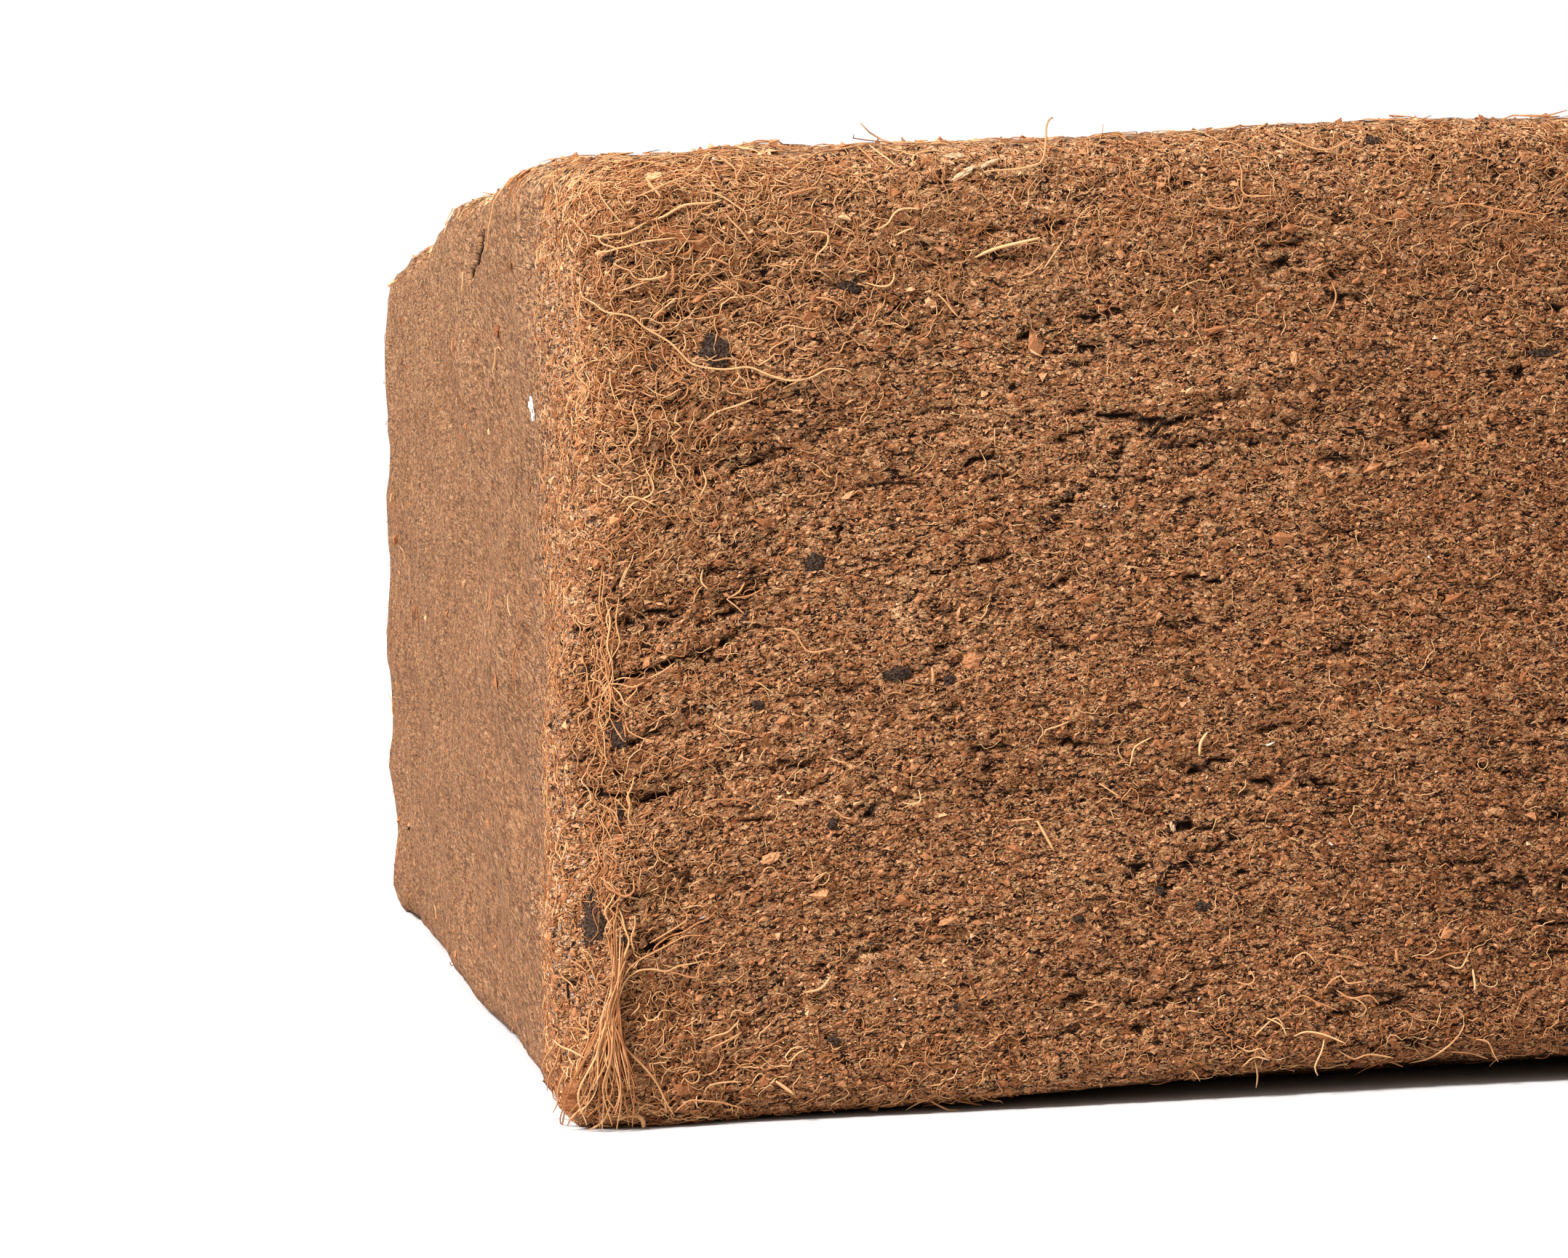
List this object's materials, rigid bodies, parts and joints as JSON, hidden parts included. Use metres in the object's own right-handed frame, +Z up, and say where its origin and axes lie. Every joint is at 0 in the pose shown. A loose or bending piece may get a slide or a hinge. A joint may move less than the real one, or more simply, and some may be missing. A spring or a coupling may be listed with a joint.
{
  "type": "coconut coir bale",
  "caption": "Square pressed block of coconut coir pith and fibre, flat on its base, with layered sides and frayed edges.",
  "frame": {"origin": "middle of the block's bounding box, on the flat base that it rests on", "axes": "+Z up through the block's thickness, -Y out of the long front face, -X out of the end face beside it"},
  "size_m": [0.303, 0.3104, 0.1233],
  "materials": {
    "coir": "matt, fibrous and crumbly"
  },
  "bodies": {
    "root": {"coir_bale": "coir"}
  },
  "joints": []
}
